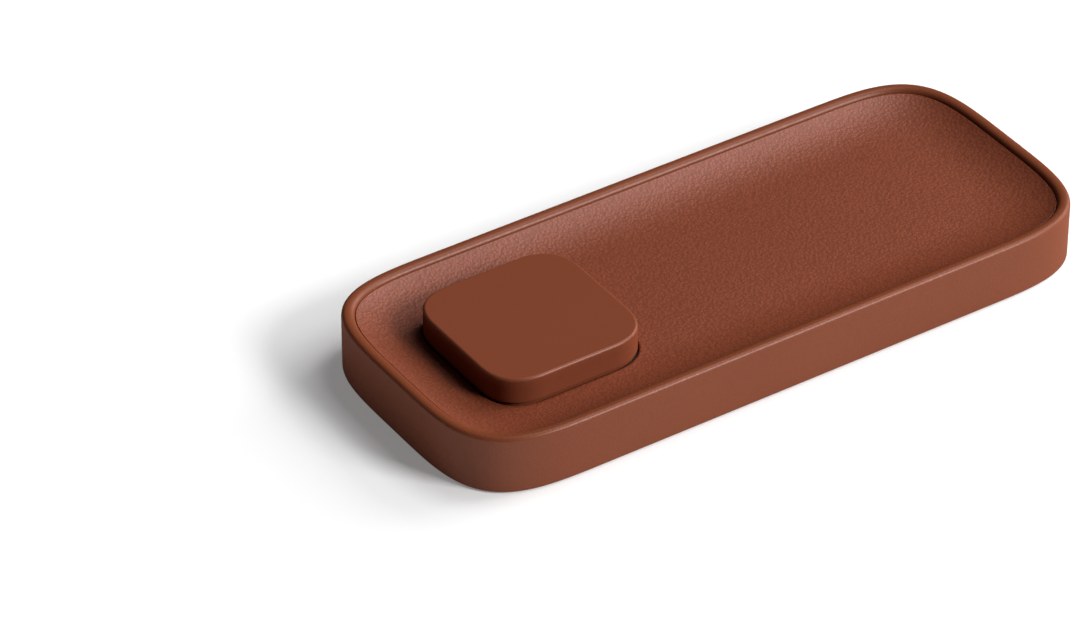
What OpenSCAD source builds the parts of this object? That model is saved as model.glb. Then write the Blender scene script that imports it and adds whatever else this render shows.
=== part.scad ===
// Charging tray: a leather-wrapped desk tray with a raised wireless charging pad at its left end.
// Millimetres. X runs along the tray, Y from front to back and Z up. The origin is the centre of
// the footprint, on the surface that the tray stands on.

/* [Tray] */
// Overall length of the tray
tray_l = 260; // [236:2:300]
// Overall width of the tray
tray_w = 108.6; // [107:0.2:130]
// Height of the side wall, from its lower edge to the rim
wall_h = 22.3; // [20:0.1:28]
// How far the side wall's lower edge stays off the table
base_lift = 0.5; // [0.3:0.1:0.9]
// How far each corner's curve reaches along the two sides that it joins
corner_reach = 52; // [40:1:52]
// How square the corner curve is: 2 is a plain arc
corner_power = 3.8; // [3:0.1:4.4]

/* [Rim] */
// Width across the rim
rim_w = 4.7; // [4.4:0.1:5.4]
// Radius of the rim's outer edge
rim_outer_r = 2.4; // [1.6:0.1:2.4]
// Radius of the rim's inner edge
rim_inner_r = 1.9; // [1.2:0.1:1.9]
// Thickness of the leather on the wall
skin_t = 0.9; // [0.6:0.1:1.1]
// How far the leather is turned down inside the rim
tuck_depth = 4; // [3.2:0.2:6]

/* [Dish] */
// Gap between the rim and the edge of the dish
groove_w = 0.65; // [0.4:0.05:1]
// How far the liner's edge lies below the rim
edge_drop = 1.4; // [1:0.1:2.2]
// Depth of the dish floor below the rim
dish_depth = 6.5; // [5:0.1:7.5]
// Width of the slope from the liner's edge down to the flat floor
slope_w = 22.3; // [16:0.1:24]
// How far the flat floor's corner curves reach
floor_reach = 20; // [12:1:22]
// How square the flat floor's corners are
floor_power = 2.6; // [2:0.1:3.6]
// Thickness of the liner leather
liner_t = 1.2; // [0.8:0.1:1.6]
// Radius of the liner's rolled edge
lip_r = 0.5; // [0.3:0.1:0.6]
// Thickness of the moulded board under the liner
board_t = 2; // [1.8:0.1:2.6]
// Thickness of the skirt that carries the board
skirt_t = 2; // [1.4:0.1:2.6]
// Height of the skirt
skirt_h = 6.4; // [5:0.2:7]

/* [Ledge] */
// How far the ledge reaches in from the wall
ledge_w = 4.5; // [3.6:0.1:5]
// Thickness of the ledge
ledge_t = 1.6; // [1.2:0.1:2]

/* [Pad] */
// Width of the pad that stays outside the magnet ring, on each side
pad_border = 3; // [2.8:0.1:5]
// How far the pad's corner curves reach
pad_reach = 17.1; // [14:0.1:19]
// How square the pad's corners are
pad_power = 2.5; // [2:0.1:3]
// Distance from the tray's left end to the pad
pad_margin = 24.9; // [23:0.1:32]
// Height of the pad above the rim
pad_rise = 3.7; // [2:0.1:8]
// Radius of the pad's top edge
pad_edge_r = 0.9; // [0.4:0.1:1.2]
// Wall thickness of the pad's cap
cap_wall = 1.8; // [1.4:0.1:1.9]
// Thickness of the cap's top
cap_top = 1.5; // [1.2:0.1:2]
// Gap between the pad and the liner's cut-out
pad_gap = 0.35; // [0.2:0.05:0.6]
// Depth of the pocket that locates the pad in the board
pocket_depth = 0.3; // [0.2:0.1:0.5]

/* [Charging module] */
// Outer diameter of the magnet ring
magnet_od = 54.6; // [53:0.1:55]
// Width of the magnet ring, from its outside to its inside
magnet_w = 4.2; // [3.8:0.1:4.6]
// Height of the magnets
magnet_h = 2.2; // [1.6:0.1:2.6]
// Number of arc magnets in the ring
magnet_count = 18; // [12:1:24]
// Gap between neighbouring magnets, in degrees
magnet_gap_deg = 0.8; // [0.4:0.1:2]
// Thickness of the steel ring behind the magnets
shield_t = 0.6; // [0.4:0.1:0.8]
// Space between the magnet ring and the coil
coil_margin = 2.1; // [1.4:0.1:4]
// Diameter of the coil's window
coil_window = 20; // [18:0.5:24]
// Height of the coil winding
coil_h = 1.1; // [0.8:0.1:1.3]
// Number of turns in the coil
coil_turns = 10; // [6:1:12]
// Gap between neighbouring turns
turn_gap = 0.25; // [0.15:0.05:0.4]
// Thickness of the ferrite
ferrite_t = 0.8; // [0.6:0.1:1]
// Thickness of the moulded carrier
carrier_t = 0.8; // [0.6:0.1:1.2]
// Thickness of the aluminium heat spreader
spreader_t = 1; // [0.6:0.1:1.4]
// Radius of the coil leads, over their insulation
lead_r = 0.6; // [0.4:0.05:0.8]

/* [Pad chassis] */
// Thickness of the chassis base
chassis_base_t = 1.6; // [1.2:0.1:1.6]
// Thickness of the chassis wall
chassis_wall_t = 1.6; // [1.2:0.1:2]
// Distance of the pad screws from the pad's sides
pad_screw_inset = 8.8; // [8.6:0.1:10]

/* [Base] */
// Thickness of the bottom cover
cover_t = 1.6; // [1.2:0.1:2]
// Width of the rebate that the cover's edge sits in
rebate_w = 1.5; // [1:0.1:1.8]
// Thickness of the soft foot
foot_t = 1; // [1:0.1:1.6]
// Distance from the outer wall to the foot
foot_inset = 4.5; // [3.6:0.1:10]
// Distance of the outer cover screws from the tray's sides
cover_screw_inset = 19; // [18.6:0.1:20]
// Radius of the bosses for the cover screws
boss_r = 3.2; // [2.6:0.1:3.4]
// Length of the ballast plate
ballast_l = 128; // [90:1:130]
// Thickness of the ballast plate
ballast_t = 3; // [2:0.1:4]
// Distance between the ribs under the board
rib_pitch = 22; // [16:1:40]
// Thickness of the ribs
rib_t = 1.2; // [0.8:0.1:1.6]
// Height of the ribs
rib_h = 4; // [2:0.1:4.4]

/* [Electronics] */
// Length of the circuit board
pcb_l = 50; // [48:0.5:52]
// Width of the circuit board
pcb_w = 32; // [30:0.5:34]
// Thickness of the circuit board
pcb_t = 1.2; // [0.8:0.1:1.6]
// Gap between the circuit board and the bottom cover
pcb_lift = 2.4; // [2.2:0.1:3]
// Spacing of the components along the circuit board
part_pitch = 8.4; // [8.2:0.1:8.8]
// Side of the power inductor
inductor_side = 7; // [6:0.1:7.4]
// Height of the power inductor
inductor_h = 3.2; // [2:0.1:3.6]
// Side of the controller chip
controller_side = 6; // [4:0.1:6.4]
// Width of the switching chips
switch_w = 5; // [3:0.1:5.4]
// Thickness of the chips
chip_t = 0.9; // [0.6:0.1:1.2]
// Width of the tuning capacitors
capacitor_w = 3.2; // [1.6:0.1:3.6]
// Length of the tuning capacitors
capacitor_l = 5; // [3:0.1:5.4]
// Height of the tuning capacitors
capacitor_h = 2.2; // [1:0.1:2.6]
// Spacing of the tuning capacitors
capacitor_pitch = 4.5; // [4:0.1:4.8]
// Depth of the coil connector
connector_l = 5; // [4:0.1:5.2]
// Height of the coil connector
connector_h = 3.4; // [2.6:0.1:3.6]
// Width of the inlet's metal shell
inlet_w = 8.94; // [8.8:0.02:9.1]
// Height of the inlet's metal shell
inlet_h = 3.2; // [3.1:0.02:3.3]
// Wall thickness of the inlet's metal shell
inlet_wall = 0.3; // [0.2:0.05:0.35]
// Depth of the inlet's metal shell
inlet_depth = 7.4; // [7:0.1:9]
// Width of the collar's rim around the inlet
collar_t = 1.6; // [1.2:0.1:2]

/* [Fasteners] */
// Radius of the screw shanks
screw_r = 1.25; // [1:0.05:1.4]
// Radius of the screw heads
head_r = 2.4; // [2:0.1:2.5]
// Height of the screw heads
head_h = 1.4; // [1:0.1:1.6]
// Length of the cover screws under the head
cover_screw_l = 8; // [6:0.5:8.5]
// Length of the pad screws under the head
pad_screw_l = 5.4; // [4:0.1:6]
// Length of the circuit board screws under the head
pcb_screw_l = 5; // [4:0.5:6]

/* [Clearances] */
// Gap between parts that slide together
slide_gap = 0.15; // [0.1:0.05:0.25]
// Gap around screw shanks and threads
screw_gap = 0.05; // [0.03:0.01:0.15]
// Gap over the magnets, under the pad's cap
top_gap = 0.2; // [0.1:0.05:0.4]
// Clear space kept between bosses, boards and plates
clear_space = 2; // [1.6:0.1:2.4]
// Gap between the circuit board and the wall
pcb_gap = 1.8; // [1.6:0.1:2.2]

/* [Hidden] */
$fn = 64;
eps = 0.01;

// Steps along each corner curve, along the dish slope and round the small edge arcs
corner_steps = 10;
slope_steps = 6;
arc_steps = 4;

leather = [0.52, 0.31, 0.23];
leather_light = [0.58, 0.36, 0.27];
soft_touch = [0.50, 0.29, 0.21];
dark_plastic = [0.16, 0.12, 0.11];
steel = [0.62, 0.63, 0.65];
copper = [0.78, 0.45, 0.25];

// Heights
rim_z = base_lift + wall_h;
edge_z = rim_z - edge_drop;
floor_z = rim_z - dish_depth;
slope_rise = edge_z - floor_z;
board_edge_z = edge_z - liner_t;
board_floor_z = floor_z - liner_t;
ledge_z = board_edge_z - skirt_h;
seat_z = board_floor_z - pocket_depth;
under_z = board_floor_z - board_t;
cover_z = foot_t;
cover_top_z = cover_z + cover_t;
boss_foot_z = cover_top_z + head_h;
pcb_z = cover_top_z + pcb_lift;
pcb_top_z = pcb_z + pcb_t;

// Insets from the outer face of the wall
corner_inset = 0.5;
frame_in = rim_w - skin_t;
corner_fit = min(corner_reach, tray_w / 2 - corner_inset);
rim_inner_fit = min(rim_inner_r, rim_w - rim_outer_r);
liner_in = rim_w + groove_w;
skirt_in = liner_in + slide_gap;
floor_in = liner_in + slope_w;
slope_angle = atan(2 * slope_rise / slope_w);
lip_z = edge_z - lip_r * (tan(slope_angle) + 1 / cos(slope_angle));

// Pad and charging module, from the top down
magnet_inner_d = magnet_od - 2 * magnet_w;
coil_od = magnet_inner_d - 2 * coil_margin;
pad_side = magnet_od + 2 * pad_border;
pad_x = pad_margin + pad_side / 2 - tray_l / 2;
pad_top_z = rim_z + pad_rise;
cap_ceiling_z = pad_top_z - cap_top;
magnet_z = cap_ceiling_z - top_gap - magnet_h;
shield_z = magnet_z - shield_t;
carrier_z = shield_z - carrier_t;
spreader_z = carrier_z - spreader_t;
coil_z = shield_z + ferrite_t;
carrier_wall = 0.7;
chassis_post_r = 2.8;
carrier_r = magnet_od / 2 + slide_gap + carrier_wall;
coil_wall_r = magnet_inner_d / 2 - slide_gap;
pad_screw_at = pad_side / 2 - pad_screw_inset;
coil_pitch = ((coil_od - coil_window) / 2 + turn_gap) / (coil_turns + 1);
wire_t = coil_pitch - turn_gap;
inner_lead_x = coil_window / 2 + wire_t / 2;
outer_lead_x = coil_od / 2 - wire_t / 2;
lead_slot = 2 * (lead_r + slide_gap);
lead_bend_r = 2.5;

// Base and electronics
screw_x = tray_l / 2 - cover_screw_inset;
screw_y = tray_w / 2 - cover_screw_inset;
pcb_x = pad_x;
pcb_back_y = tray_w / 2 - frame_in - pcb_gap;
pcb_y = pcb_back_y - pcb_w / 2;
second_screw_x = pcb_x + pcb_l / 2 + clear_space + boss_r;
screw_columns = [-screw_x, second_screw_x, (second_screw_x + screw_x) / 2, screw_x];
ballast_x = (second_screw_x + screw_x) / 2;
fence_t = 1.2;
ballast_w = 2 * (screw_y - boss_r - clear_space - fence_t - slide_gap);
pcb_boss_r = 2.5;
pcb_screw_x = pad_screw_at - head_r - pcb_boss_r - clear_space / 2;
pcb_screw_y = [-pcb_w / 7, pcb_w / 4];
connector_size = [outer_lead_x - inner_lead_x + connector_l, connector_l, connector_h];
sensor_r = 1.5;
board_edge = 0.6;
connector_y = pcb_y - pcb_w / 2 + board_edge;
lead_z = pcb_top_z + connector_h / 2;
inlet_z = pcb_top_z + inlet_h / 2;
wall_y = tray_w / 2;
inlet_y = wall_y - 0.3;
collar_w = inlet_w + 2 * (slide_gap + collar_t);
collar_h = inlet_h + 2 * (slide_gap + collar_t);
flange_t = 0.8;
flange_w = 0.6;

// Outlines

// A point of a corner curve whose outward normal points at angle a, for a curve that reaches r
function corner_point(r, p, a) =
    let (q = p / (p - 1), n = pow(pow(cos(a), q) + pow(sin(a), q), 1 / p))
    r / n * [pow(cos(a), 1 / (p - 1)), pow(sin(a), 1 / (p - 1))];

function turned(v, a) = [v[0] * cos(a) - v[1] * sin(a), v[0] * sin(a) + v[1] * cos(a)];

// Normal angles along one corner, closest together at its two ends
function corner_angle(k) = 45 * (1 - cos(180 * k / corner_steps));

// Closed outline of a rectangle of half sizes a and b with curved corners, moved in by inset
function outline(a, b, reach, power, inset = 0) = [
    for (q = [0 : 3])
        for (k = [0 : corner_steps])
            let (
                angle = corner_angle(k),
                across = a - reach,
                along = b - reach,
                centre = [(q == 0 || q == 3) ? across : -across, q < 2 ? along : -along],
                point = corner_point(reach, power, angle) - inset * [cos(angle), sin(angle)]
            )
            centre + turned(point, 90 * q)
];

function tray_outline(inset) = outline(tray_l / 2, tray_w / 2, corner_fit, corner_power, inset);

function floor_outline() =
    outline(tray_l / 2 - floor_in, tray_w / 2 - floor_in, floor_reach, floor_power);

function pad_outline(grow) = [
    for (v = outline(pad_side / 2, pad_side / 2, pad_reach, pad_power, -grow)) v + [pad_x, 0]
];

function at_height(points, z) = [for (v = points) [v[0], v[1], z]];

function between(one, two, s) = [for (i = [0 : len(one) - 1]) one[i] * (1 - s) + two[i] * s];

// Ring of the dish surface, from its edge at s = 0 to the flat floor at s = 1, lowered by drop
function dish_ring(s, drop) =
    at_height(
        between(tray_outline(liner_in), floor_outline(), s),
        floor_z - drop + slope_rise * pow(1 - s, 2)
    );

// Points of a quarter arc of radius r in [inset, z], from angle a1 to angle a2
function arc(centre, r, a1, a2) = [
    for (k = [0 : arc_steps])
        let (a = a1 + (a2 - a1) * k / arc_steps)
        centre + r * [-cos(a), sin(a)]
];

// Solid through a list of rings with equal counts, going up on its outside. It closes on
// itself as a band, or is capped at both ends.
module loft(rings, band = false) {
    n = len(rings[0]);
    m = len(rings);
    points = [for (ring = rings) for (v = ring) v];
    sides = [
        for (j = [0 : band ? m - 1 : m - 2])
            for (i = [0 : n - 1])
                let (
                    a = j * n + i,
                    b = j * n + (i + 1) % n,
                    c = ((j + 1) % m) * n + (i + 1) % n,
                    d = ((j + 1) % m) * n + i
                )
                each [[a, c, b], [a, d, c]]
    ];
    caps = band ? [] : [
        [for (i = [0 : n - 1]) i],
        [for (i = [n - 1 : -1 : 0]) (m - 1) * n + i]
    ];
    polyhedron(points, concat(sides, caps), convexity = 8);
}

// Band that runs round the tray with the given cross-section of [inset, z] points
module wall_band(section) {
    loft([for (v = section) at_height(tray_outline(v[0]), v[1])], band = true);
}

module plate(points, z, h) {
    translate([0, 0, z]) linear_extrude(h) polygon(points);
}

module post(x, y, z, r, h) {
    translate([x, y, z]) cylinder(r = r, h = h);
}

module block(centre, size, z) {
    translate([centre[0] - size[0] / 2, centre[1] - size[1] / 2, z]) cube(size);
}

// Bar with round ends that points along Y, from y - depth to y
module oval(x, y, z, w, h, depth) {
    for (side = [-1, 1])
        translate([x + side * (w - h) / 2, y, z]) rotate([90, 0, 0]) cylinder(r = h / 2, h = depth);
    translate([x - (w - h) / 2, y - depth, z - h / 2]) cube([w - h, depth, h]);
}

// Pan-head screw that points up, with the underside of its head at z
module screw(x, y, z, length) {
    post(x, y, z - head_h, head_r, head_h);
    post(x, y, z - eps, screw_r, length + eps);
}

// Wall and rim

module port_cut() {
    oval(pcb_x, wall_y + 1, inlet_z, collar_w, collar_h, frame_in + 1 + eps);
}

// Room for the collar's flange behind the wall, where it meets the ledge
module flange_cut() {
    grow = 2 * (flange_w + slide_gap);
    oval(
        pcb_x, wall_y - frame_in + eps, inlet_z,
        collar_w + grow, collar_h + grow, flange_t + slide_gap + eps
    );
}

module outer_wrap() {
    over = concat(
        [[0, base_lift]],
        arc([rim_outer_r, rim_z - rim_outer_r], rim_outer_r, 0, 90),
        arc([rim_w - rim_inner_fit, rim_z - rim_inner_fit], rim_inner_fit, 90, 180),
        [[rim_w, rim_z - tuck_depth]]
    );
    under = concat(
        [[frame_in, rim_z - tuck_depth]],
        frame_rim_back(),
        [[skin_t, base_lift]]
    );
    color(leather) difference() {
        wall_band(concat(over, under));
        port_cut();
    }
}

// Rim of the frame under the leather, from the outside to the inside
function frame_rim() = concat(
    arc([rim_outer_r, rim_z - rim_outer_r], rim_outer_r - skin_t, 0, 90),
    arc([rim_w - rim_inner_fit, rim_z - rim_inner_fit], rim_inner_fit - skin_t, 90, 180)
);

function frame_rim_back() =
    let (points = frame_rim())
    [for (i = [len(points) - 1 : -1 : 0]) points[i]];

module tray_frame() {
    section = concat(
        [[skin_t, base_lift]],
        frame_rim(),
        [
            [frame_in, ledge_z],
            [frame_in + ledge_w, ledge_z],
            [frame_in + ledge_w, ledge_z - ledge_t],
            [frame_in, ledge_z - ledge_t],
            [frame_in, cover_top_z],
            [skin_t + rebate_w, cover_top_z],
            [skin_t + rebate_w, base_lift]
        ]
    );
    color(dark_plastic) difference() {
        wall_band(section);
        port_cut();
        flange_cut();
    }
}

// Dish

module dish_liner() {
    lip = [
        for (v = arc([liner_in + lip_r, lip_z], lip_r, 0, 90 + slope_angle / 2))
            at_height(tray_outline(v[0]), v[1])
    ];
    slope_start = lip_r * (1 + sin(slope_angle)) / slope_w;
    top = [
        for (k = [0 : slope_steps])
            dish_ring(slope_start + (1 - slope_start) * k / slope_steps, 0)
    ];
    below = [for (k = [slope_steps : -1 : 0]) dish_ring(k / slope_steps, liner_t)];
    color(leather_light) difference() {
        loft(concat(below, lip, top));
        plate(pad_outline(pad_gap), floor_z - 4 * liner_t, 8 * liner_t);
    }
}

// Everything above the board's dished top face
module over_board() {
    rings = [
        for (k = [slope_steps : -1 : 0]) dish_ring(k / slope_steps, liner_t),
        dish_ring(-1 / slope_steps / 4, liner_t),
        at_height(tray_outline(liner_in - 2), rim_z)
    ];
    loft(rings);
}

// Blank of the board: its dished underside and its upright edge, before its top is dished
module board_blank() {
    rings = [
        for (k = [slope_steps : -1 : 1]) dish_ring(k / slope_steps, liner_t + board_t),
        at_height(tray_outline(skirt_in), board_edge_z - board_t),
        at_height(tray_outline(skirt_in), board_edge_z + 1)
    ];
    loft(rings);
}

module dish_board() {
    rib_top = under_z + board_t / 2;
    rib_l = 2 * (tray_w / 2 - floor_in);
    color(dark_plastic) difference() {
        union() {
            board_blank();
            wall_band([
                [skirt_in, ledge_z],
                [skirt_in, board_edge_z - board_t / 2],
                [skirt_in + skirt_t, board_edge_z - board_t],
                [skirt_in + skirt_t, ledge_z]
            ]);
            for (x = screw_columns)
                for (y = [-screw_y, screw_y])
                    post(x, y, boss_foot_z, boss_r, edge_z - boss_foot_z);
            for (x = [-pcb_screw_x, pcb_screw_x])
                for (y = pcb_screw_y)
                    post(pcb_x + x, pcb_y + y, pcb_top_z, pcb_boss_r, edge_z - pcb_top_z);
            for (x = [second_screw_x + rib_pitch / 2 : rib_pitch : screw_x - rib_pitch / 2])
                block([x, 0], [rib_t, rib_l, rib_h], rib_top - rib_h);
            for (y = [-rib_l / 4, rib_l / 4])
                block(
                    [ballast_x, y],
                    [screw_x - second_screw_x - rib_pitch, rib_t, rib_h],
                    rib_top - rib_h
                );
        }
        over_board();
        plate(pad_outline(slide_gap), seat_z, dish_depth * 2);
        for (x = screw_columns)
            for (y = [-screw_y, screw_y])
                post(x, y, boss_foot_z - 1, screw_r + screw_gap, cover_screw_l + 1.5);
        for (x = [-pcb_screw_x, pcb_screw_x])
            for (y = pcb_screw_y)
                post(
                    pcb_x + x, pcb_y + y, pcb_top_z - 1,
                    screw_r + screw_gap, pcb_screw_l - pcb_t + 1.5
                );
        for (x = [-pad_screw_at, pad_screw_at])
            for (y = [-pad_screw_at, pad_screw_at])
                post(pad_x + x, y, under_z - 1, screw_r + screw_gap, board_t + 2);
        lead_cut(under_z - 1, board_t + 2);
    }
}

// Pad and charging module

module pad_cover() {
    rise = concat([[0, seat_z]], arc([pad_edge_r, pad_top_z - pad_edge_r], pad_edge_r, 0, 90));
    color(soft_touch) difference() {
        loft([for (v = rise) at_height(pad_outline(-v[0]), v[1])]);
        plate(pad_outline(-cap_wall), seat_z - 1, cap_ceiling_z - seat_z + 1);
    }
}

// Slot that both coil leads pass through
module lead_cut(z, h) {
    block(
        [pad_x + (inner_lead_x + outer_lead_x) / 2, 0],
        [outer_lead_x - inner_lead_x + lead_slot, lead_slot, h],
        z
    );
}

module pad_chassis() {
    wall_in = -cap_wall - slide_gap;
    color(dark_plastic) difference() {
        union() {
            difference() {
                plate(pad_outline(wall_in), seat_z, spreader_z - seat_z);
                plate(pad_outline(wall_in - chassis_wall_t), seat_z + chassis_base_t, spreader_z);
            }
            for (x = [-pad_screw_at, pad_screw_at])
                for (y = [-pad_screw_at, pad_screw_at])
                    post(pad_x + x, y, seat_z, chassis_post_r, spreader_z - seat_z);
        }
        for (x = [-pad_screw_at, pad_screw_at])
            for (y = [-pad_screw_at, pad_screw_at])
                post(pad_x + x, y, seat_z - 1, screw_r + screw_gap, spreader_z - seat_z + 2);
        lead_cut(seat_z - 1, chassis_base_t + 2);
    }
}

module heat_spreader() {
    color([0.75, 0.76, 0.78]) difference() {
        post(pad_x, 0, spreader_z, carrier_r, spreader_t);
        lead_cut(spreader_z - 1, spreader_t + 2);
    }
}

module coil_carrier() {
    rise = carrier_t + shield_t + magnet_h;
    color([0.85, 0.84, 0.8]) difference() {
        translate([pad_x, 0, carrier_z]) rotate_extrude() {
            square([carrier_r, carrier_t]);
            translate([carrier_r - carrier_wall, 0]) square([carrier_wall, rise]);
            translate([coil_wall_r - carrier_wall, 0]) square([carrier_wall, rise]);
        }
        lead_cut(carrier_z - 1, carrier_t + 2);
    }
}

module shield_ring() {
    color(steel) difference() {
        post(pad_x, 0, shield_z, magnet_od / 2, shield_t);
        post(pad_x, 0, shield_z - 1, magnet_inner_d / 2, shield_t + 2);
    }
}

module magnet_ring() {
    step = 360 / magnet_count;
    color([0.7, 0.7, 0.72])
        for (k = [0 : magnet_count - 1])
            translate([pad_x, 0, magnet_z]) rotate([0, 0, k * step + magnet_gap_deg / 2])
                rotate_extrude(angle = step - magnet_gap_deg)
                    translate([magnet_inner_d / 2, 0]) square([(magnet_od - magnet_inner_d) / 2, magnet_h]);
}

module ferrite_disc() {
    color([0.2, 0.2, 0.22]) difference() {
        post(pad_x, 0, shield_z, coil_wall_r - carrier_wall - slide_gap, ferrite_t);
        lead_cut(shield_z - 1, ferrite_t + 2);
    }
}

// Flat spiral of one wire, wound out from the coil's window
module charging_coil() {
    turn_steps = 20;
    last = coil_turns * turn_steps;
    function spiral(k, r) =
        let (a = 360 * k / turn_steps, reach = r + coil_pitch * k / turn_steps)
        reach * [cos(a), sin(a)];
    inside = [for (k = [0 : last]) spiral(k, coil_window / 2)];
    outside = [for (k = [last : -1 : 0]) spiral(k, coil_window / 2 + wire_t)];
    color(copper) translate([pad_x, 0, coil_z]) linear_extrude(coil_h) polygon(concat(inside, outside));
}

module coil_sensor() {
    color([0.1, 0.1, 0.1]) post(pad_x, 0, coil_z, sensor_r, coil_h);
}

// Each lead drops from the coil, turns under the board and runs back to its connector
module coil_leads() {
    color(copper)
        for (x = [pad_x + inner_lead_x, pad_x + outer_lead_x]) {
            post(x, 0, lead_z + lead_bend_r, lead_r, coil_z - lead_z - lead_bend_r);
            translate([x, lead_bend_r, lead_z + lead_bend_r]) rotate([0, 90, 0]) rotate([0, 0, -90])
                rotate_extrude(angle = 90) translate([lead_bend_r, 0]) circle(lead_r);
            translate([x, lead_bend_r, lead_z]) rotate([-90, 0, 0])
                cylinder(r = lead_r, h = connector_y - lead_bend_r);
        }
}

// Electronics

module main_board() {
    color([0.08, 0.3, 0.16]) difference() {
        block([pcb_x, pcb_y], [pcb_l, pcb_w, pcb_t], pcb_z);
        for (x = [-pcb_screw_x, pcb_screw_x])
            for (y = pcb_screw_y)
                post(pcb_x + x, pcb_y + y, pcb_z - 1, screw_r + slide_gap, pcb_t + 2);
    }
}

module coil_connector() {
    color([0.9, 0.88, 0.8])
        block(
            [pad_x + (inner_lead_x + outer_lead_x) / 2, connector_y + connector_size[1] / 2],
            connector_size,
            pcb_top_z
        );
}

module power_inductor() {
    color([0.25, 0.25, 0.27]) {
        block([pcb_x - part_pitch, pcb_y], [inductor_side, inductor_side, inductor_h], pcb_top_z);
        block(
            [pcb_x - part_pitch, pcb_y],
            [inductor_side + 2 * board_edge, inductor_side / 2, chip_t],
            pcb_top_z
        );
    }
}

module driver_chips() {
    color([0.12, 0.12, 0.13]) {
        block([pcb_x, pcb_y], [controller_side, controller_side, chip_t], pcb_top_z);
        for (x = [part_pitch, -2.5 * part_pitch])
            block([pcb_x + x, pcb_y], [switch_w, controller_side, chip_t], pcb_top_z);
    }
}

module tuning_capacitors() {
    color([0.72, 0.62, 0.45])
        for (k = [0 : 3])
            block(
                [pcb_x - pcb_l / 2 + capacitor_w + capacitor_pitch * k, pcb_y - pcb_w / 2 + capacitor_l],
                [capacitor_w, capacitor_l, capacitor_h],
                pcb_top_z
            );
}

module usb_c_shell() {
    color(steel) difference() {
        oval(pcb_x, inlet_y, inlet_z, inlet_w, inlet_h, inlet_depth);
        oval(
            pcb_x, inlet_y + 1, inlet_z,
            inlet_w - 2 * inlet_wall, inlet_h - 2 * inlet_wall, inlet_depth + 2
        );
    }
}

module usb_c_tongue() {
    plug_t = 1.4;
    tongue_w = 6.7;
    tongue_t = 0.7;
    color([0.1, 0.1, 0.1]) {
        oval(
            pcb_x, inlet_y - inlet_depth + plug_t, inlet_z,
            inlet_w - 2 * (inlet_wall + screw_gap), inlet_h - 2 * (inlet_wall + screw_gap), plug_t
        );
        translate([pcb_x - tongue_w / 2, inlet_y - inlet_depth + plug_t - eps, inlet_z - tongue_t / 2])
            cube([tongue_w, inlet_depth - plug_t - 1, tongue_t]);
    }
}

// Collar in the wall, held by a flange behind the frame
module port_collar() {
    color(dark_plastic) difference() {
        union() {
            oval(pcb_x, wall_y, inlet_z, collar_w - 2 * slide_gap, collar_h - 2 * slide_gap, frame_in);
            oval(
                pcb_x, wall_y - frame_in, inlet_z,
                collar_w + 2 * flange_w, collar_h + 2 * flange_w, flange_t
            );
        }
        oval(
            pcb_x, wall_y + 1, inlet_z,
            inlet_w + 2 * slide_gap, inlet_h + 2 * slide_gap, frame_in + flange_t + 2
        );
    }
}

// Base

module bottom_cover() {
    color(dark_plastic) difference() {
        union() {
            plate(tray_outline(skin_t + rebate_w + slide_gap), cover_z, cover_t);
            for (x = screw_columns)
                for (y = [-screw_y, screw_y])
                    post(x, y, cover_z, boss_r, boss_foot_z - cover_z);
            for (side = [-1, 1])
                block(
                    [ballast_x, side * (ballast_w / 2 + slide_gap + fence_t / 2)],
                    [ballast_l / 2, fence_t, cover_t + ballast_t / 2],
                    cover_z
                );
        }
        for (x = screw_columns)
            for (y = [-screw_y, screw_y]) {
                post(x, y, cover_z - 1, head_r + slide_gap, head_h + 1);
                post(x, y, cover_z, screw_r + slide_gap, 3 * cover_t + head_h);
            }
    }
}

module ballast_plate() {
    color(steel) block([ballast_x, 0], [ballast_l, ballast_w, ballast_t], cover_top_z);
}

module foot_pad() {
    color([0.2, 0.17, 0.16]) plate(tray_outline(foot_inset), 0, foot_t);
}

// Fasteners

module cover_screws() {
    color(steel)
        for (x = screw_columns)
            for (y = [-screw_y, screw_y])
                screw(x, y, cover_z + head_h, cover_screw_l);
}

module board_screws() {
    color(steel)
        for (x = [-pcb_screw_x, pcb_screw_x])
            for (y = pcb_screw_y)
                screw(pcb_x + x, pcb_y + y, pcb_z, pcb_screw_l);
}

module pad_screws() {
    color(steel)
        for (x = [-pad_screw_at, pad_screw_at])
            for (y = [-pad_screw_at, pad_screw_at])
                screw(pad_x + x, y, under_z, pad_screw_l);
}

outer_wrap();
tray_frame();
dish_liner();
dish_board();
pad_cover();
pad_chassis();
heat_spreader();
coil_carrier();
shield_ring();
magnet_ring();
ferrite_disc();
charging_coil();
coil_sensor();
coil_leads();
main_board();
coil_connector();
power_inductor();
driver_chips();
tuning_capacitors();
usb_c_shell();
usb_c_tongue();
port_collar();
bottom_cover();
ballast_plate();
foot_pad();
cover_screws();
board_screws();
pad_screws();
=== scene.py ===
import math

import bmesh
import bpy
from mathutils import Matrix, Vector


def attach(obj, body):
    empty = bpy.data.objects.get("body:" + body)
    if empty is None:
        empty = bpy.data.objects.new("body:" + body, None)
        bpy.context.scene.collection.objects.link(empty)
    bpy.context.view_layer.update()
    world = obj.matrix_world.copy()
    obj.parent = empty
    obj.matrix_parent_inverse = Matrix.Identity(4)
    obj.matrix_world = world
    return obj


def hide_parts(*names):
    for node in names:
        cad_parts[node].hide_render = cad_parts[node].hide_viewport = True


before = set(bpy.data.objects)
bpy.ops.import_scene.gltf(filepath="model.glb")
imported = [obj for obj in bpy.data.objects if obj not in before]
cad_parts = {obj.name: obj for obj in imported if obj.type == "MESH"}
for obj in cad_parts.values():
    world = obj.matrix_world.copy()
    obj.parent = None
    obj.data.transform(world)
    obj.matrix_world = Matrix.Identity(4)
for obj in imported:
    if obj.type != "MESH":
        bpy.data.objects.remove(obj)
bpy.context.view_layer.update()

mm = 0.001

# Camera, at the photograph's viewing angle

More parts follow.
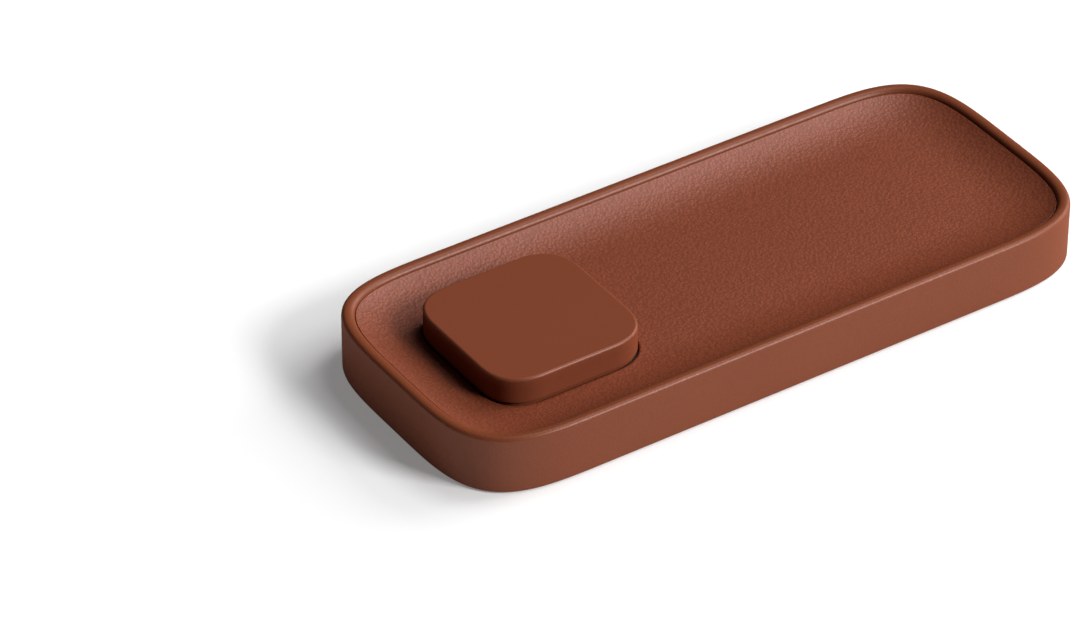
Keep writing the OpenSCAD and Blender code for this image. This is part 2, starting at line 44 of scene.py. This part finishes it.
cameraView = {
    "azimuth": -33.555,    # degrees round the tray, from straight in front
    "elevation": 36.411,
    "distance": 1.939,
    "target": (-0.0542, 0.0250, 0.0005),
    "lens": 186.6,
}


def direction(around, up):
    # a unit vector towards a place so many degrees round from the front, and up
    turn, lift = math.radians(around), math.radians(up)
    return Vector((
        math.sin(turn) * math.cos(lift),
        -math.cos(turn) * math.cos(lift),
        math.sin(lift),
    ))


def placeCamera(view):
    back = direction(view["azimuth"], view["elevation"])
    bpy.ops.object.camera_add(location=Vector(view["target"]) + back * view["distance"])
    camera = bpy.context.object
    camera.name = "photoCamera"
    camera.rotation_euler = back.to_track_quat("Z", "Y").to_euler()
    camera.data.lens = view["lens"]
    camera.data.sensor_width = 36
    camera.data.clip_end = 20
    bpy.context.scene.camera = camera
    return camera


bpy.ops.object.select_all(action="DESELECT")
placeCamera(cameraView)
print("camera placed")

# Modelling helpers


def deselectAll():
    if bpy.context.object and bpy.context.object.mode != "OBJECT":
        bpy.ops.object.mode_set(mode="OBJECT")
    bpy.ops.object.select_all(action="DESELECT")


def selectOnly(piece):
    deselectAll()
    piece.select_set(True)
    bpy.context.view_layer.objects.active = piece


def pick(piece, kind, test):
    # leaves the piece in edit mode with only what passes the test selected
    selectOnly(piece)
    bpy.ops.object.mode_set(mode="EDIT")
    bpy.ops.mesh.select_mode(type=kind)
    bpy.ops.mesh.select_all(action="DESELECT")
    shape = bmesh.from_edit_mesh(piece.data)
    for item in {"VERT": shape.verts, "EDGE": shape.edges, "FACE": shape.faces}[kind]:
        if test(item):
            item.select_set(True)
    shape.select_flush_mode()
    bmesh.update_edit_mesh(piece.data)


def nearZ(item, z):
    return all(abs(v.co.z - z) < 0.02 * mm for v in item.verts)


def facesUp(face):
    return face.normal.z > 0.9


def facesDown(face):
    return face.normal.z < -0.9


def isUpright(edge):
    a, b = edge.verts
    return abs(a.co.x - b.co.x) < 1e-6 and abs(a.co.y - b.co.y) < 1e-6


def rimEdge(z, outer):
    # an edge at height z between a level face and a wall that faces outwards or inwards
    def test(edge):
        if not nearZ(edge, z) or len(edge.link_faces) != 2:
            return False
        walls = [f for f in edge.link_faces if abs(f.normal.z) < 0.5]
        if len(walls) != 1:
            return False
        centre = walls[0].calc_center_median()
        return (walls[0].normal.x * centre.x + walls[0].normal.y * centre.y > 0) == outer
    return test


def squareBlock(name, size, centre, bottom, top, reach, power, steps):
    # a block whose four upright edges are bevelled into curves of the given power
    deselectAll()
    bpy.ops.mesh.primitive_cube_add(
        size=1,
        location=(centre[0] * mm, centre[1] * mm, (bottom + top) / 2 * mm),
    )
    piece = bpy.context.object
    piece.name = name
    piece.data.name = name
    piece.scale = (size[0] * mm, size[1] * mm, (top - bottom) * mm)
    bpy.ops.object.transform_apply(location=True, rotation=True, scale=True)
    pick(piece, "EDGE", isUpright)
    bpy.ops.mesh.bevel(
        offset=reach * mm,
        segments=steps,
        profile=2 ** (-2 / power),
        affect="EDGES",
    )
    return piece


def applyModifiers(piece):
    selectOnly(piece)
    for modifier in list(piece.modifiers):
        bpy.ops.object.modifier_apply(modifier=modifier.name)


def cutWith(piece, cutter):
    cut = piece.modifiers.new("cut", "BOOLEAN")
    cut.operation = "DIFFERENCE"
    cut.solver = "EXACT"
    cut.object = cutter
    applyModifiers(piece)
    bpy.data.objects.remove(cutter, do_unlink=True)


def smooth(piece, angle=40):
    # the large faces keep their own direction, and the small bevels carry the curve
    selectOnly(piece)
    bpy.ops.object.shade_smooth_by_angle(angle=math.radians(angle))
    weights = piece.modifiers.new("weights", "WEIGHTED_NORMAL")
    weights.weight = 60
    weights.keep_sharp = True
    applyModifiers(piece)


# Material helpers


def linear(colour):
    # a colour as seen on screen, from 0 to 255, as Blender's linear light
    steps = [c / 255 for c in colour]
    return tuple(s / 12.92 if s <= 0.04045 else ((s + 0.055) / 1.055) ** 2.4 for s in steps) + (1.0,)


def newMaterial(name):
    material = bpy.data.materials.new(name)
    material.use_nodes = True
    nodes = material.node_tree.nodes
    nodes.clear()
    output = nodes.new("ShaderNodeOutputMaterial")
    shader = nodes.new("ShaderNodeBsdfPrincipled")
    material.node_tree.links.new(shader.outputs["BSDF"], output.inputs["Surface"])
    return material, nodes, material.node_tree.links, shader


def noiseNode(nodes, links, place, scale, detail=3.0, roughness=0.5):
    noise = nodes.new("ShaderNodeTexNoise")
    noise.inputs["Scale"].default_value = scale
    noise.inputs["Detail"].default_value = detail
    noise.inputs["Roughness"].default_value = roughness
    links.new(place, noise.inputs["Vector"])
    return noise.outputs["Fac"]


def spread(nodes, links, value, low, high, outLow, outHigh):
    ranged = nodes.new("ShaderNodeMapRange")
    ranged.inputs["From Min"].default_value = low
    ranged.inputs["From Max"].default_value = high
    ranged.inputs["To Min"].default_value = outLow
    ranged.inputs["To Max"].default_value = outHigh
    links.new(value, ranged.inputs["Value"])
    return ranged.outputs["Result"]


def blendColours(nodes, links, value, first, second):
    mix = nodes.new("ShaderNodeMix")
    mix.data_type = "RGBA"
    links.new(value, mix.inputs["Factor"])
    for socket, colour in ((mix.inputs[6], first), (mix.inputs[7], second)):
        if isinstance(colour, tuple):
            socket.default_value = colour
        else:
            links.new(colour, socket)
    return mix.outputs[2]


def addMath(nodes, links, kind, first, second):
    sums = nodes.new("ShaderNodeMath")
    sums.operation = kind
    for socket, value in ((sums.inputs[0], first), (sums.inputs[1], second)):
        if isinstance(value, (int, float)):
            socket.default_value = value
        else:
            links.new(value, socket)
    return sums.outputs["Value"]


def addGloss(links, shader, look, rough, normal):
    # a thin dense coat reflects little more at a low angle than from straight on, as leather does,
    # and a trace of metal lends the gloss the warmth of the dye
    links.new(rough, shader.inputs["Roughness"])
    links.new(normal, shader.inputs["Normal"])
    shader.inputs["Metallic"].default_value = look.get("metal", 0.0)
    if "gloss" in look:
        shader.inputs["Specular IOR Level"].default_value = 0.0
        shader.inputs["Coat Weight"].default_value = look["gloss"]
        shader.inputs["Coat IOR"].default_value = 3.0
        links.new(rough, shader.inputs["Coat Roughness"])
        links.new(normal, shader.inputs["Coat Normal"])


def leather(name, look):
    material, nodes, links, shader = newMaterial(name)
    place = nodes.new("ShaderNodeTexCoord").outputs["Object"]

    # broad, soft variation of the dye, and a fine one from pore to pore
    cloud = spread(nodes, links, noiseNode(nodes, links, place, look["cloudScale"], 3), 0.35, 0.65, 0, 1)
    fleck = noiseNode(nodes, links, place, look["poreScale"] * 0.9, 2, 0.6)
    dye = blendColours(nodes, links, cloud, linear(look["dark"]), linear(look["light"]))

    # pebbled grain: cells with creases between them, the creases coloured darker as painted shade
    warp = nodes.new("ShaderNodeMix")
    warp.data_type = "VECTOR"
    warp.inputs["Factor"].default_value = look["warp"]
    shift = nodes.new("ShaderNodeTexNoise")
    shift.inputs["Scale"].default_value = look["poreScale"] * 0.5
    shift.inputs["Detail"].default_value = 2
    links.new(place, shift.inputs["Vector"])
    links.new(place, warp.inputs[4])
    links.new(shift.outputs["Color"], warp.inputs[5])
    cells = nodes.new("ShaderNodeTexVoronoi")
    cells.feature = "SMOOTH_F1"
    cells.inputs["Scale"].default_value = look["poreScale"]
    cells.inputs["Smoothness"].default_value = 0.35
    links.new(warp.outputs[1], cells.inputs["Vector"])
    crease = spread(nodes, links, cells.outputs["Distance"], 0.15, 0.75, 0, 1)

    # painted shade: the creases between the grain's cells are blended towards a darker colour, in place
    # of the shade that falls in them
    shade = blendColours(
        nodes, links,
        addMath(nodes, links, "MULTIPLY", crease, look["creaseShadeAmount"]),
        dye, linear(look["crease"]),
    )
    tint = spread(nodes, links, fleck, 0.3, 0.7, -look["fleck"], look["fleck"])
    bright = nodes.new("ShaderNodeHueSaturation")
    links.new(addMath(nodes, links, "ADD", tint, 1.0), bright.inputs["Value"])
    links.new(shade, bright.inputs["Color"])
    links.new(bright.outputs["Color"], shader.inputs["Base Color"])

    rough = spread(nodes, links, fleck, 0.3, 0.7, look["roughLow"], look["roughHigh"])
    grain = nodes.new("ShaderNodeBump")
    grain.inputs["Strength"].default_value = 1.0
    grain.inputs["Distance"].default_value = look["grainDepth"] * mm
    height = addMath(nodes, links, "SUBTRACT", addMath(nodes, links, "MULTIPLY", fleck, 0.5), crease)
    links.new(height, grain.inputs["Height"])
    soft = nodes.new("ShaderNodeBump")
    soft.inputs["Strength"].default_value = 1.0
    soft.inputs["Distance"].default_value = look["softDepth"] * mm
    links.new(noiseNode(nodes, links, place, look["softScale"], 1), soft.inputs["Height"])
    links.new(grain.outputs["Normal"], soft.inputs["Normal"])
    addGloss(links, shader, look, rough, soft.outputs["Normal"])
    return material


def moulded(name, look):
    material, nodes, links, shader = newMaterial(name)
    place = nodes.new("ShaderNodeTexCoord").outputs["Object"]
    cloud = noiseNode(nodes, links, place, look["cloudScale"], 2)
    links.new(
        blendColours(nodes, links, cloud, linear(look["dark"]), linear(look["light"])),
        shader.inputs["Base Color"],
    )
    fine = noiseNode(nodes, links, place, look["fineScale"], 3, 0.6)
    rough = spread(nodes, links, fine, 0.3, 0.7, look["roughLow"], look["roughHigh"])
    bump = nodes.new("ShaderNodeBump")
    bump.inputs["Strength"].default_value = 1.0
    bump.inputs["Distance"].default_value = look["fineDepth"] * mm
    links.new(fine, bump.inputs["Height"])
    addGloss(links, shader, look, rough, bump.outputs["Normal"])
    return material


# Leather wrap on the wall and the rim

wrap = {
    "length": 260.0,
    "width": 108.6,
    "bottom": 0.5,
    "shoulder": 22.4,
    "crown": 22.8,
    "crownInset": 2.4,
    "rimWidth": 4.7,
    "rimInside": 21.9,
    "outerRound": 1.35,
    "crownRound": 0.85,
    "innerRound": 1.35,
    "tuck": 3.1,
    "skin": 0.88,
    "cornerReach": 52.0,
    "cornerPower": 3.8,
    "cornerSteps": 36,
    "bottomRound": 0.3,
}

wrapLook = {
    "dark": (115, 59, 36),
    "light": (119, 62, 38),
    # colour of the painted shade in the grain's creases
    "crease": (100, 48, 28),
    "creaseShadeAmount": 0.20,
    "fleck": 0.02,
    "cloudScale": 14,
    "poreScale": 1500,
    "warp": 0.0006,
    "grainDepth": 0.020,
    "softDepth": 0.03,
    "softScale": 45,
    "roughLow": 0.35,
    "roughHigh": 0.41,
    "gloss": 0.078,
    "metal": 0.045,
}


def trayBlock(name, bottom, top):
    return squareBlock(
        name, (wrap["length"], wrap["width"]), (0, 0), bottom, top,
        wrap["cornerReach"], wrap["cornerPower"], wrap["cornerSteps"],
    )


def insetTop(piece, top, amount):
    pick(piece, "FACE", lambda f: facesUp(f) and nearZ(f, top * mm))
    bpy.ops.mesh.inset(thickness=amount * mm, use_even_offset=True)


def roundLoop(piece, z, amount, steps):
    # rounds the whole loop of edges at one height
    pick(piece, "EDGE", lambda e: nearZ(e, z * mm) and len(e.link_faces) == 2)
    bpy.ops.mesh.bevel(offset=amount * mm, segments=steps, affect="EDGES")


def makeWrap():
    # the rim is crowned: from the shoulder up to the crown, and down again on the inside
    piece = trayBlock("outerWrap", wrap["bottom"], wrap["shoulder"])
    insetTop(piece, wrap["shoulder"], wrap["crownInset"])
    bpy.ops.transform.translate(value=(0, 0, (wrap["crown"] - wrap["shoulder"]) * mm))
    insetTop(piece, wrap["crown"], wrap["rimWidth"] - wrap["crownInset"])
    bpy.ops.transform.translate(value=(0, 0, (wrap["rimInside"] - wrap["crown"]) * mm))
    bpy.ops.mesh.extrude_region_move(
        TRANSFORM_OT_translate={"value": (0, 0, -wrap["tuck"] * mm)},
    )
    bpy.ops.mesh.delete(type="ONLY_FACE")
    pick(piece, "FACE", facesDown)
    bpy.ops.mesh.delete(type="ONLY_FACE")
    roundLoop(piece, wrap["shoulder"], wrap["outerRound"], 8)
    roundLoop(piece, wrap["crown"], wrap["crownRound"], 4)
    roundLoop(piece, wrap["rimInside"], wrap["innerRound"], 6)
    selectOnly(piece)
    skin = piece.modifiers.new("skin", "SOLIDIFY")
    skin.thickness = wrap["skin"] * mm
    skin.offset = -1
    skin.use_even_offset = True
    applyModifiers(piece)
    pick(piece, "EDGE", rimEdge(wrap["bottom"] * mm, True))
    bpy.ops.mesh.bevel(offset=wrap["bottomRound"] * mm, segments=4, affect="EDGES")
    return piece


outerWrap = makeWrap()
print("wrap modelled")

# Inlet in the back wall

inlet = {
    "x": -74.8,
    "z": 7.8,
    "wall": 54.3,
    "collarWidth": 12.14,
    "collarHeight": 6.4,
    "collarDepth": 3.8,
    "collarGap": 0.25,
    "collarRound": 0.35,
    "flangeWidth": 0.75,
    "flangeDepth": 0.8,
    "holeWidth": 9.24,
    "holeHeight": 3.5,
}


def roundBar(name, width, height, front, back):
    # a bar with round ends that points along Y
    deselectAll()
    bpy.ops.mesh.primitive_cube_add(
        size=1,
        location=(inlet["x"] * mm, (front + back) / 2 * mm, inlet["z"] * mm),
    )
    piece = bpy.context.object
    piece.name = name
    piece.data.name = name
    piece.scale = (width * mm, abs(front - back) * mm, height * mm)
    bpy.ops.object.transform_apply(location=True, rotation=True, scale=True)
    pick(piece, "EDGE", lambda e: abs(e.verts[0].co.y - e.verts[1].co.y) > 0.5 * mm)
    bpy.ops.mesh.bevel(offset=(height / 2 - 0.01) * mm, segments=16, affect="EDGES")
    selectOnly(piece)
    return piece


cutWith(outerWrap, roundBar(
    "inletCutter",
    inlet["collarWidth"] + 2 * inlet["collarGap"],
    inlet["collarHeight"] + 2 * inlet["collarGap"],
    inlet["wall"] - 6, inlet["wall"] + 4,
))
smooth(outerWrap)
wrapLeather = leather("cognacWrapLeather", wrapLook)
outerWrap.data.materials.append(wrapLeather)
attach(outerWrap, "root")
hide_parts("outer_wrap")
print("wrap finished")



def collarFrontEdge(edge):
    # an edge in the plane of the wall, where the front face meets the outside or the hole
    levels = [abs(f.normal.y) > 0.9 for f in edge.link_faces]
    return levels.count(True) == 1 and levels.count(False) == 1 and all(
        abs(v.co.y - inlet["wall"] * mm) < 0.01 * mm for v in edge.verts
    )


def makeCollar():
    inside = inlet["wall"] - inlet["collarDepth"]
    piece = roundBar(
        "portCollar", inlet["collarWidth"], inlet["collarHeight"], inside, inlet["wall"],
    )
    flange = roundBar(
        "collarFlange",
        inlet["collarWidth"] + 2 * inlet["flangeWidth"],
        inlet["collarHeight"] + 2 * inlet["flangeWidth"],
        inside - inlet["flangeDepth"], inside,
    )
    joint = piece.modifiers.new("joint", "BOOLEAN")
    joint.operation = "UNION"
    joint.solver = "EXACT"
    joint.object = flange
    applyModifiers(piece)
    bpy.data.objects.remove(flange, do_unlink=True)
    cutWith(piece, roundBar(
        "holeCutter", inlet["holeWidth"], inlet["holeHeight"], inside - 4, inlet["wall"] + 4,
    ))
    pick(piece, "EDGE", collarFrontEdge)
    bpy.ops.mesh.bevel(offset=inlet["collarRound"] * mm, segments=5, affect="EDGES")
    selectOnly(piece)
    return piece


collarLook = {
    "dark": (44, 33, 29),
    "light": (52, 39, 34),
    "cloudScale": 60,
    "fineScale": 2600,
    "fineDepth": 0.01,
    "roughLow": 0.40,
    "roughHigh": 0.50,
}

portCollar = makeCollar()
smooth(portCollar)
portCollar.data.materials.append(moulded("collarPlastic", collarLook))
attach(portCollar, "root")
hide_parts("port_collar")
print("collar finished")

# Dished liner

liner = {
    "edgeInset": 4.85,
    "edge": 21.15,
    "floor": 16.3,
    "slopeWidth": 23.2,
    "slopePower": 2.5,
    "slopeSteps": 28,
    "floorReach": 20.0,
    "floorPower": 2.6,
    "edgeDepth": 1.6,
    "lipRound": 0.25,
    "skin": 0.5,
    "padGap": 0.3,
    "padLip": 0.8,
    "padLipSteps": 6,
}

linerLook = {
    "dark": (126, 60, 34),
    "light": (130, 63, 37),
    # colour of the painted shade in the grain's creases
    "crease": (94, 41, 21),
    "creaseShadeAmount": 0.45,
    "fleck": 0.04,
    "cloudScale": 14,
    "poreScale": 880,
    "warp": 0.0008,
    "grainDepth": 0.068,
    "softDepth": 0.02,
    "softScale": 45,
    "roughLow": 0.45,
    "roughHigh": 0.51,
    "gloss": 0.165,
    "metal": 0.12,
}

pad = {
    "side": 60.6,
    "x": -74.8,
    "seat": 14.8,
    "foot": 16.75,
    "footRound": 0.25,
    "plinthInset": 0.8,
    "top": 26.5,
    "cornerReach": 17.1,
    "cornerPower": 2.5,
    "cornerSteps": 28,
    "topRound": 1.1,
}


def padBlock(name, grow, bottom, top):
    side = pad["side"] + 2 * grow
    return squareBlock(
        name, (side, side), (pad["x"], 0), bottom, top,
        pad["cornerReach"] + grow, pad["cornerPower"], pad["cornerSteps"],
    )


def makeLiner():
    edge = trayBlock("dishLiner", liner["edge"] - 5, liner["edge"])
    insetTop(edge, liner["edge"], liner["edgeInset"])
    bpy.ops.mesh.select_all(action="INVERT")
    bpy.ops.mesh.delete(type="FACE")
    selectOnly(edge)

    # the flat floor's outline
    reach = liner["edgeInset"] + liner["slopeWidth"]
    floor = squareBlock(
        "dishFloor", (wrap["length"] - 2 * reach, wrap["width"] - 2 * reach), (0, 0),
        liner["floor"] - 5, liner["floor"],
        liner["floorReach"], liner["floorPower"], wrap["cornerSteps"],
    )
    pick(floor, "FACE", lambda f: not facesUp(f))
    bpy.ops.mesh.delete(type="FACE")
    selectOnly(edge)
    floor.select_set(True)
    bpy.ops.object.join()

    # slope between the two outlines, then each of its rings is lowered onto the curve
    pick(edge, "FACE", lambda f: True)
    bpy.ops.mesh.delete(type="ONLY_FACE")
    pick(edge, "EDGE", lambda e: True)
    steps = liner["slopeSteps"]
    bpy.ops.mesh.bridge_edge_loops(number_cuts=steps - 1, interpolation="LINEAR")
    rise = liner["edge"] - liner["floor"]
    for k in range(steps - 1, 0, -1):
        s = k / steps
        z = (liner["edge"] - rise * s) * mm
        pick(edge, "VERT", lambda v: abs(v.co.z - z) < 0.004 * mm)
        drop = rise * (1 - s - (1 - s) ** liner["slopePower"])
        bpy.ops.transform.translate(value=(0, 0, -drop * mm))
    pick(edge, "EDGE", lambda e: nearZ(e, liner["floor"] * mm) and len(e.link_faces) == 1)
    bpy.ops.mesh.edge_face_add()

    # turned-down edge
    pick(edge, "EDGE", lambda e: nearZ(e, liner["edge"] * mm) and len(e.link_faces) == 1)
    bpy.ops.mesh.extrude_edges_move(
        TRANSFORM_OT_translate={"value": (0, 0, -liner["edgeDepth"] * mm)},
    )
    pick(edge, "EDGE", lambda e: nearZ(e, liner["edge"] * mm))
    bpy.ops.mesh.bevel(offset=liner["lipRound"] * mm, segments=5, affect="EDGES")
    bpy.ops.mesh.select_all(action="SELECT")
    bpy.ops.mesh.normals_make_consistent(inside=False)
    selectOnly(edge)
    floorFace = max(edge.data.polygons, key=lambda p: p.area)
    if floorFace.normal.z < 0:
        bpy.ops.object.mode_set(mode="EDIT")
        bpy.ops.mesh.flip_normals()
        bpy.ops.object.mode_set(mode="OBJECT")
    skin = edge.modifiers.new("skin", "SOLIDIFY")
    skin.thickness = liner["skin"] * mm
    skin.offset = -1
    skin.use_even_offset = True
    applyModifiers(edge)
    return edge


def padLipCutter():
    # grows outwards towards the top, so that the liner's cut edge rolls down round the pad
    lip = liner["padLip"]
    height = liner["floor"] - lip
    grow = liner["padGap"]
    piece = padBlock("padCutter", grow, 10, height)
    pick(piece, "FACE", facesUp)
    profile = []
    for k in range(1, liner["padLipSteps"] + 1):
        turn = math.pi / 2 * k / liner["padLipSteps"]
        profile.append((
            liner["padGap"] + lip * (1 - math.cos(turn)),
            liner["floor"] - lip * (1 - math.sin(turn)),
        ))
    profile.append((grow + lip * 2, liner["floor"] + lip / 4))
    profile.append((grow + lip * 2, pad["top"]))
    for newGrow, newHeight in profile:
        bpy.ops.mesh.extrude_region_move(
            TRANSFORM_OT_translate={"value": (0, 0, (newHeight - height) * mm)},
        )
        ratio = (pad["side"] + 2 * newGrow) / (pad["side"] + 2 * grow)
        bpy.ops.transform.resize(
            value=(ratio, ratio, 1),
            center_override=(pad["x"] * mm, 0, newHeight * mm),
        )
        grow, height = newGrow, newHeight
    selectOnly(piece)
    return piece


dishLiner = makeLiner()
cutWith(dishLiner, padLipCutter())
smooth(dishLiner)
dishLiner.data.materials.append(leather("grainedLinerLeather", linerLook))
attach(dishLiner, "root")
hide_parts("dish_liner")
print("liner finished")

# Charging pad

padLook = {
    "dark": (118, 61, 39),
    "light": (121, 63, 41),
    "cloudScale": 30,
    "fineScale": 2600,
    "fineDepth": 0.006,
    "roughLow": 0.34,
    "roughHigh": 0.40,
    "gloss": 0.082,
    "metal": 0.05,
}


def padFootEdge(edge):
    foot = pad["foot"] * mm
    return nearZ(edge, foot) and any(f.calc_center_median().z > foot + mm for f in edge.link_faces)


def makePad():
    # the cap stands on a narrower plinth, which leaves a shadow line above the leather
    piece = padBlock("padCover", 0, pad["foot"], pad["top"])
    pick(piece, "FACE", facesDown)
    bpy.ops.mesh.inset(thickness=pad["plinthInset"] * mm, use_even_offset=True)
    bpy.ops.mesh.extrude_region_move(
        TRANSFORM_OT_translate={"value": (0, 0, (pad["seat"] - pad["foot"]) * mm)},
    )
    pick(piece, "EDGE", padFootEdge)
    bpy.ops.mesh.bevel(offset=pad["footRound"] * mm, segments=3, affect="EDGES")
    roundLoop(piece, pad["top"], pad["topRound"], 8)
    selectOnly(piece)
    return piece


padCover = makePad()
smooth(padCover)
padCover.data.materials.append(moulded("softTouchPad", padLook))
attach(padCover, "root")
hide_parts("pad_cover")
print("pad finished")

# Soft foot under the tray

foot = {
    "inset": 4.5,
    "thickness": 1.0,
    "round": 0.3,
}

footLook = {
    "dark": (56, 44, 40),
    "light": (66, 53, 48),
    "cloudScale": 40,
    "fineScale": 1400,
    "fineDepth": 0.06,
    "roughLow": 0.80,
    "roughHigh": 0.95,
}


def makeFoot():
    piece = trayBlock("footPad", -2, 0)
    insetTop(piece, 0, foot["inset"])
    bpy.ops.mesh.select_all(action="INVERT")
    bpy.ops.mesh.delete(type="FACE")
    pick(piece, "FACE", facesUp)
    bpy.ops.mesh.extrude_region_move(
        TRANSFORM_OT_translate={"value": (0, 0, foot["thickness"] * mm)},
    )
    bpy.ops.mesh.select_all(action="SELECT")
    bpy.ops.mesh.normals_make_consistent(inside=False)
    pick(piece, "EDGE", lambda e: nearZ(e, 0) and len(e.link_faces) == 2)
    bpy.ops.mesh.bevel(offset=foot["round"] * mm, segments=3, affect="EDGES")
    selectOnly(piece)
    return piece


footPad = makeFoot()
smooth(footPad)
footPad.data.materials.append(moulded("footRubber", footLook))
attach(footPad, "root")
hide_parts("foot_pad")
print("foot finished")

# Finishes of the CAD nodes that stay

finishes = {
    "darkPlastic": {
        "dark": (40, 31, 28), "light": (48, 37, 33), "cloudScale": 40, "fineScale": 1800,
        "fineDepth": 0.02, "roughLow": 0.50, "roughHigh": 0.65,
    },
    "lightPlastic": {
        "dark": (208, 204, 194), "light": (220, 216, 206), "cloudScale": 60, "fineScale": 1800,
        "fineDepth": 0.01, "roughLow": 0.45, "roughHigh": 0.60,
    },
    "platedSteel": {
        "dark": (168, 170, 174), "light": (188, 190, 194), "cloudScale": 90, "fineScale": 2400,
        "fineDepth": 0.004, "roughLow": 0.24, "roughHigh": 0.36, "metal": 1.0,
    },
    "nickelMagnet": {
        "dark": (182, 180, 176), "light": (200, 198, 192), "cloudScale": 90, "fineScale": 2400,
        "fineDepth": 0.003, "roughLow": 0.18, "roughHigh": 0.28, "metal": 1.0,
    },
    "rolledAluminium": {
        "dark": (196, 198, 202), "light": (210, 212, 216), "cloudScale": 50, "fineScale": 1600,
        "fineDepth": 0.006, "roughLow": 0.32, "roughHigh": 0.45, "metal": 1.0,
    },
    "blackFerrite": {
        "dark": (46, 46, 50), "light": (58, 58, 62), "cloudScale": 120, "fineScale": 1800,
        "fineDepth": 0.02, "roughLow": 0.65, "roughHigh": 0.80,
    },
    "enamelledCopper": {
        "dark": (176, 98, 58), "light": (196, 116, 72), "cloudScale": 120, "fineScale": 2400,
        "fineDepth": 0.003, "roughLow": 0.25, "roughHigh": 0.35, "metal": 1.0,
    },
    "solderMask": {
        "dark": (22, 74, 42), "light": (28, 86, 50), "cloudScale": 80, "fineScale": 1800,
        "fineDepth": 0.004, "roughLow": 0.30, "roughHigh": 0.42,
    },
    "blackMoulding": {
        "dark": (30, 30, 32), "light": (38, 38, 40), "cloudScale": 160, "fineScale": 2600,
        "fineDepth": 0.008, "roughLow": 0.45, "roughHigh": 0.60,
    },
    "capacitorCeramic": {
        "dark": (176, 150, 112), "light": (190, 164, 124), "cloudScale": 200, "fineScale": 2600,
        "fineDepth": 0.006, "roughLow": 0.40, "roughHigh": 0.55,
    },
}

finishOf = {
    "tray_frame": "darkPlastic", "dish_board": "darkPlastic", "pad_chassis": "darkPlastic",
    "bottom_cover": "darkPlastic",
    "heat_spreader": "rolledAluminium", "coil_carrier": "lightPlastic",
    "coil_connector": "lightPlastic", "shield_ring": "platedSteel",
    "magnet_ring": "nickelMagnet", "ferrite_disc": "blackFerrite",
    "power_inductor": "blackFerrite", "charging_coil": "enamelledCopper",
    "coil_leads": "enamelledCopper", "coil_sensor": "blackMoulding",
    "main_board": "solderMask", "driver_chips": "blackMoulding",
    "tuning_capacitors": "capacitorCeramic", "usb_c_shell": "platedSteel",
    "usb_c_tongue": "blackMoulding", "ballast_plate": "platedSteel",
    "cover_screws": "platedSteel", "board_screws": "platedSteel", "pad_screws": "platedSteel",
}

made = {}
for node, finish in finishOf.items():
    if finish not in made:
        made[finish] = moulded(finish, finishes[finish])
    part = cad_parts[node]
    part.data.materials.clear()
    part.data.materials.append(made[finish])
print("CAD nodes painted")

# Floor, backdrop and lights

studio = {
    "floorColour": (232, 232, 232),
    "floorGlow": 0.19,
    "worldColour": (255, 255, 255),
    "worldStrength": 0.03,
    "distance": 4.0,
}

deselectAll()
bpy.ops.mesh.primitive_plane_add(size=1, location=(0, 0, -0.1 * mm))
floorPlane = bpy.context.object
floorPlane.name = "studioFloor"
floorPlane.scale = (12, 12, 1)
bpy.ops.object.transform_apply(location=True, rotation=True, scale=True)
floorMaterial, nodes, links, shader = newMaterial("paleFloor")
shader.inputs["Base Color"].default_value = linear(studio["floorColour"])
shader.inputs["Roughness"].default_value = 0.9
shader.inputs["Specular IOR Level"].default_value = 0.1
# the floor glows faintly of itself, which lightens the shadows cast on it
shader.inputs["Emission Color"].default_value = linear(studio["worldColour"])
shader.inputs["Emission Strength"].default_value = studio["floorGlow"]
floorPlane.data.materials.append(floorMaterial)

world = bpy.data.worlds.new("studioWorld")
world.use_nodes = True
background = world.node_tree.nodes["Background"]
background.inputs["Color"].default_value = linear(studio["worldColour"])
background.inputs["Strength"].default_value = studio["worldStrength"]
bpy.context.scene.world = world

# each light: degrees round from the front and up, its side in metres, and its watts
lights = {
    "keyPanel": {"round": 32, "up": 32, "side": 1.2, "power": 148},
    "rightPanel": {"round": 90, "up": 25, "side": 2.8, "power": 150},
    "rightHighPanel": {"round": 92, "up": 64, "side": 1.6, "power": 44},
    "cornerHighPanel": {"round": 60, "up": 48, "side": 1.6, "power": 22},
}

for name, light in lights.items():
    away = direction(light["round"], light["up"])
    deselectAll()
    bpy.ops.object.light_add(type="AREA", location=away * studio["distance"])
    lamp = bpy.context.object
    lamp.name = name
    lamp.data.shape = "SQUARE"
    lamp.data.size = light["side"]
    lamp.data.energy = light["power"]
    lamp.rotation_euler = away.to_track_quat("Z", "Y").to_euler()
print("studio lit")

bpy.context.scene.view_settings.view_transform = "Standard"

deselectAll()
